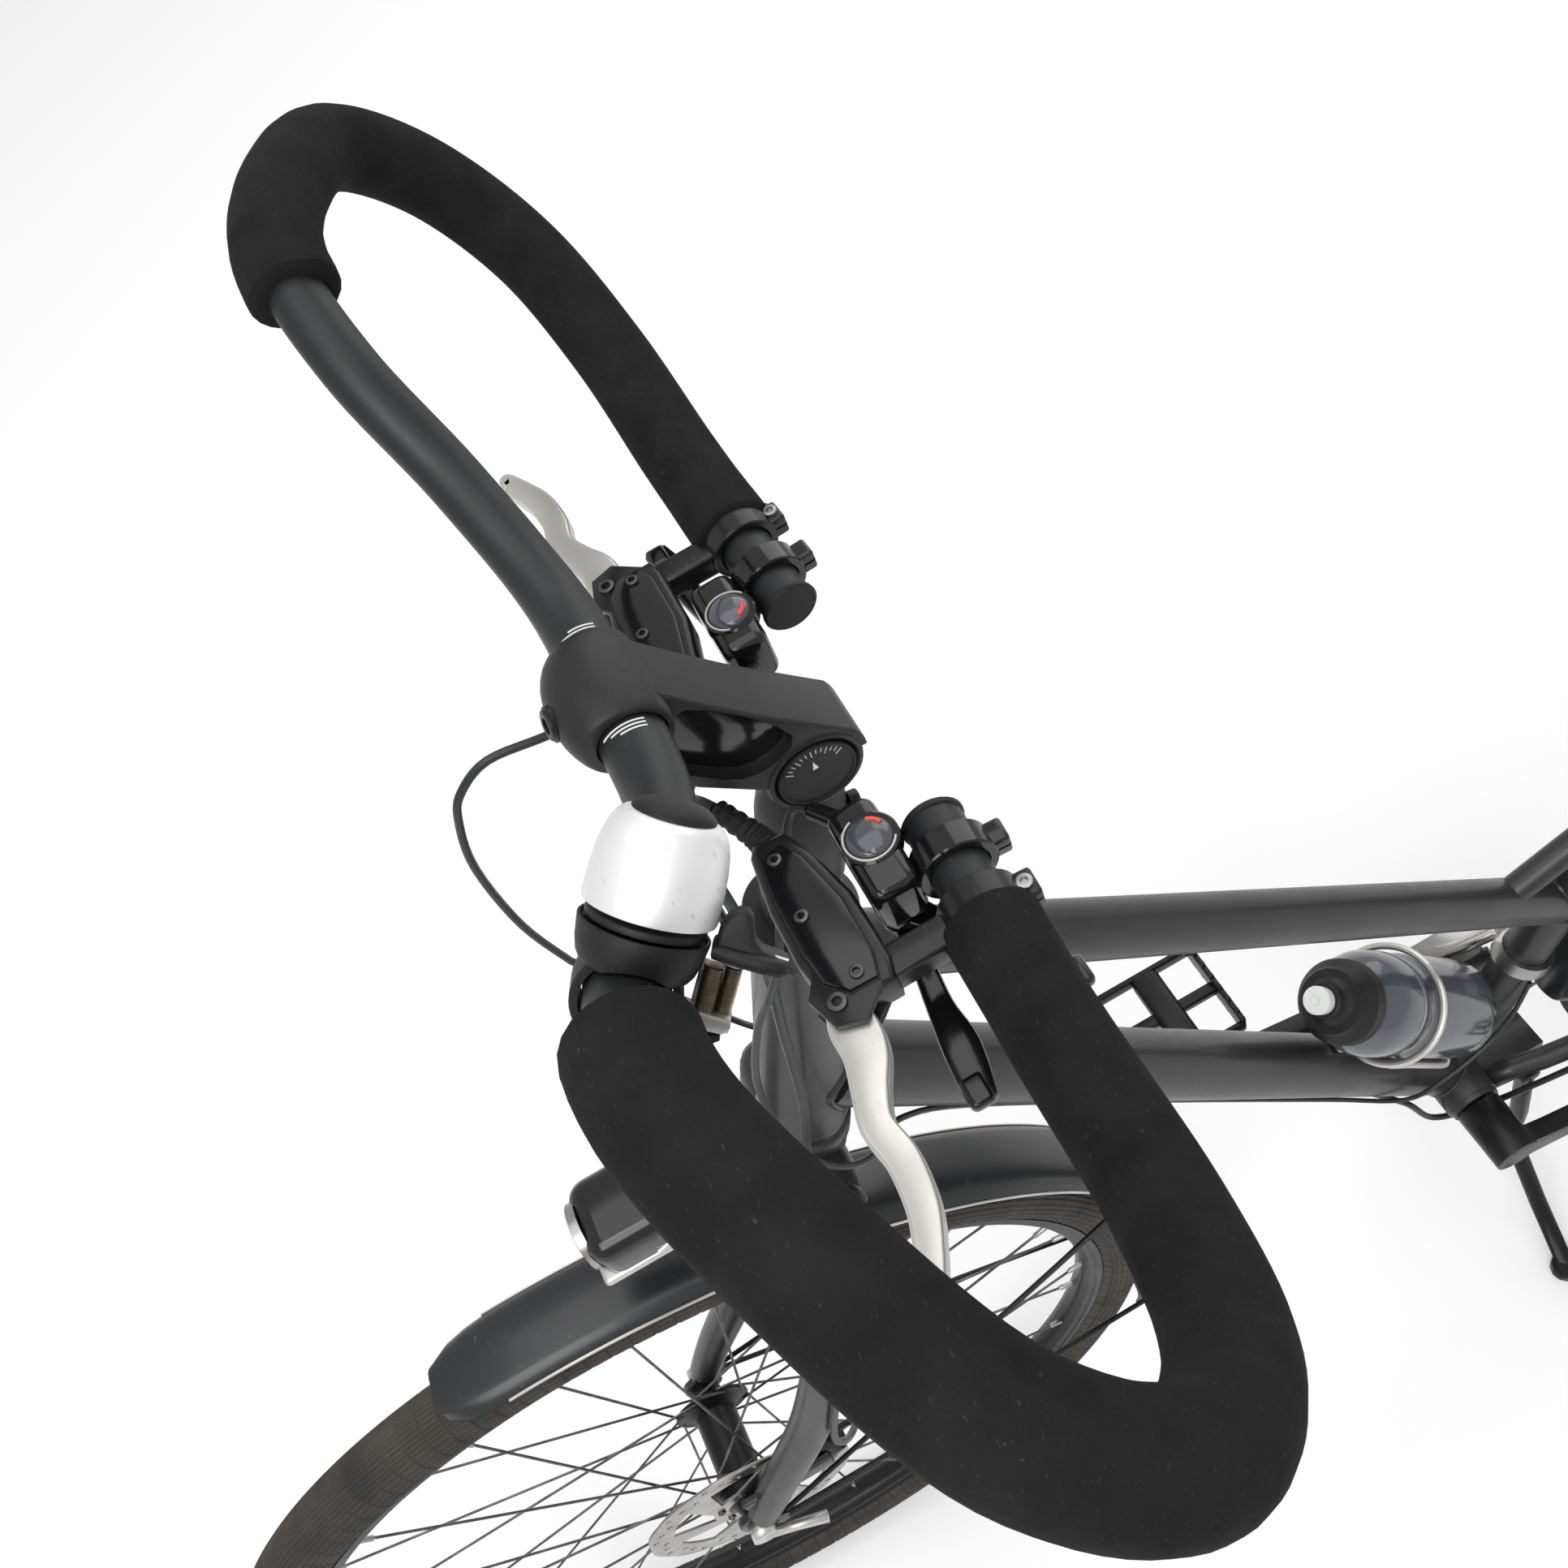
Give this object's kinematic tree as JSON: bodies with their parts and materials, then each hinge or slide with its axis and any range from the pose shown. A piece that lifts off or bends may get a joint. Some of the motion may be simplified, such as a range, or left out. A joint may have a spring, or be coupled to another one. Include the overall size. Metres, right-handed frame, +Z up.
{
  "type": "touring bicycle",
  "caption": "Touring bicycle with a multi-position foam-covered handlebar on an adjustable stem, disc brakes, mudguards, bottle cage and two-legged stand.",
  "frame": {"origin": "centre of the bicycle's footprint, on the ground", "axes": "+X forward, +Y to the rider's left, +Z up"},
  "size_m": [1.7928, 0.6234, 1.2425],
  "materials": {
    "frame_paint": "satin black paint",
    "black_metal": "satin black anodised alloy",
    "black_plastic": "fine satin black",
    "foam": "matt closed-cell foam",
    "tyre": "matt, treaded",
    "cable_housing": "satin black outer",
    "silver": "brushed",
    "satin_silver": "satin plate",
    "steel": "brushed",
    "bottle_plastic": "smoky gloss",
    "saddle_cover": "fine-grained synthetic cover"
  },
  "bodies": {
    "frame": {"head_tube": "frame_paint", "top_tube": "frame_paint", "down_tube": "frame_paint", "seat_tube": "frame_paint", "bb_shell": "frame_paint", "stays_left": "frame_paint", "stays_right": "frame_paint", "rear_fender": "black_plastic", "bottle_cage": "silver", "rear_caliper": "black_metal", "rear_derailleur": "black_metal", "front_derailleur": "steel", "chain": "steel", "rear_skewer": "silver", "rear_brake_hose": "cable_housing", "shift_cable_left": "cable_housing", "shift_cable_right": "cable_housing"},
    "saddle_body": {"seatpost": "black_metal", "saddle": "saddle_cover"},
    "bottle_body": {"bottle": "bottle_plastic", "bottle_cap": "black_plastic"},
    "stand": {"kickstand": "black_metal"},
    "rear_wheel": {"rear_tyre": "tyre", "rear_rim": "black_metal", "rear_hub": "steel", "cassette": "steel"},
    "cage_body": {"derailleur_cage": "steel"},
    "crank": {"crankset": "black_metal", "crank_left": "black_metal"},
    "pedal_body_left": {"pedal_left": "black_metal"},
    "pedal_body_right": {"pedal_right": "black_metal"},
    "steering": {"fork": "frame_paint", "stem_post": "black_metal", "front_fender": "black_plastic", "headlight": "black_plastic", "front_caliper": "black_metal", "front_skewer": "silver", "front_brake_hose": "cable_housing"},
    "front_wheel": {"front_tyre": "tyre", "front_rim": "black_metal", "front_hub": "black_metal", "front_rotor": "steel"},
    "bar": {"stem_arm": "black_metal", "stem_dial": "black_metal", "handlebar": "black_metal", "foam_grip_left": "foam", "foam_grip_right": "foam", "brake_body_left": "black_plastic", "brake_body_right": "black_plastic", "shifter_left": "black_plastic", "shifter_right": "black_plastic", "bell_base": "black_plastic", "bell_cup": "satin_silver"},
    "blade_left": {"brake_blade_left": "silver"},
    "blade_right": {"brake_blade_right": "silver"},
    "bell_thumb": {"bell_lever": "black_plastic"},
    "thumb_body_left": {"thumb_left": "black_plastic"},
    "thumb_body_right": {"thumb_right": "black_plastic"},
    "trigger_body_left": {"trigger_left": "black_plastic"},
    "trigger_body_right": {"trigger_right": "black_plastic"}
  },
  "joints": [
    {"name": "seatpost_slide", "type": "slide", "parent": "frame", "child": "saddle_body", "axis": [-0.342, 0, 0.9397], "range_m": [-0.05, 0.06]},
    {"name": "bottle_slide", "type": "slide", "parent": "frame", "child": "bottle_body", "axis": [0.5976, 0, 0.8018], "range_m": [0, 0.12]},
    {"name": "stand_swing", "type": "hinge", "parent": "frame", "child": "stand", "pos_m": [-0.14026, 0, 0.2326], "axis": [0, 1, 0], "range_deg": [0, 60]},
    {"name": "rear_wheel_spin", "type": "hinge", "parent": "frame", "child": "rear_wheel", "pos_m": [-0.52826, 0, 0.35], "axis": [0, 1, 0], "continuous": true},
    {"name": "cage_swing", "type": "hinge", "parent": "frame", "child": "cage_body", "pos_m": [-0.52526, 0, 0.282], "axis": [0, 1, 0], "range_deg": [-15, 35], "stiffness_Nm_per_rad": 0.5, "deforming": ["chain"]},
    {"name": "crank_spin", "type": "hinge", "parent": "frame", "child": "crank", "pos_m": [-0.07826, 0, 0.2766], "axis": [0, 1, 0], "continuous": true},
    {"name": "pedal_left_spin", "type": "hinge", "parent": "crank", "child": "pedal_body_left", "pos_m": [-0.24145, 0.1325, 0.22898], "axis": [0, 1, 0], "continuous": true},
    {"name": "pedal_right_spin", "type": "hinge", "parent": "crank", "child": "pedal_body_right", "pos_m": [0.08494, -0.1325, 0.32422], "axis": [0, 1, 0], "continuous": true},
    {"name": "steering_turn", "type": "hinge", "parent": "frame", "child": "steering", "pos_m": [0.35457, 0, 0.77791], "axis": [-0.289, 0, 0.9573], "range_deg": [-60, 60], "deforming": ["rear_brake_hose", "shift_cable_left", "shift_cable_right"]},
    {"name": "front_wheel_spin", "type": "hinge", "parent": "steering", "child": "front_wheel", "pos_m": [0.54644, 0, 0.35], "axis": [0, 1, 0], "continuous": true},
    {"name": "bar_tilt", "type": "hinge", "parent": "steering", "child": "bar", "pos_m": [0.26885, 0, 1.06185], "axis": [0, 1, 0], "range_deg": [-20, 35], "deforming": ["front_brake_hose", "rear_brake_hose", "shift_cable_left", "shift_cable_right"]},
    {"name": "brake_left", "type": "hinge", "parent": "bar", "child": "blade_left", "pos_m": [0.30367, 0.11, 1.0668], "axis": [0, 0, 1], "range_deg": [0, 25], "stiffness_Nm_per_rad": 0.5},
    {"name": "brake_right", "type": "hinge", "parent": "bar", "child": "blade_right", "pos_m": [0.30367, -0.11, 1.0668], "axis": [0, 0, -1], "range_deg": [0, 25], "stiffness_Nm_per_rad": 0.5},
    {"name": "bell_flick", "type": "hinge", "parent": "bar", "child": "bell_thumb", "pos_m": [0.33301, 0.1411, 1.21622], "axis": [-0.6948, -0.4539, 0.5579], "range_deg": [0, 35], "stiffness_Nm_per_rad": 0.1},
    {"name": "shift_thumb_left", "type": "hinge", "parent": "bar", "child": "thumb_body_left", "pos_m": [0.26717, 0.073, 1.0668], "axis": [0, 0, -1], "range_deg": [0, 20], "stiffness_Nm_per_rad": 0.1},
    {"name": "shift_thumb_right", "type": "hinge", "parent": "bar", "child": "thumb_body_right", "pos_m": [0.26717, -0.073, 1.0668], "axis": [0, 0, 1], "range_deg": [0, 20], "stiffness_Nm_per_rad": 0.1},
    {"name": "shift_trigger_left", "type": "hinge", "parent": "bar", "child": "trigger_body_left", "pos_m": [0.26717, 0.073, 1.0668], "axis": [0, 0, -1], "range_deg": [0, 12], "stiffness_Nm_per_rad": 0.1},
    {"name": "shift_trigger_right", "type": "hinge", "parent": "bar", "child": "trigger_body_right", "pos_m": [0.26717, -0.073, 1.0668], "axis": [0, 0, 1], "range_deg": [0, 12], "stiffness_Nm_per_rad": 0.1}
  ]
}
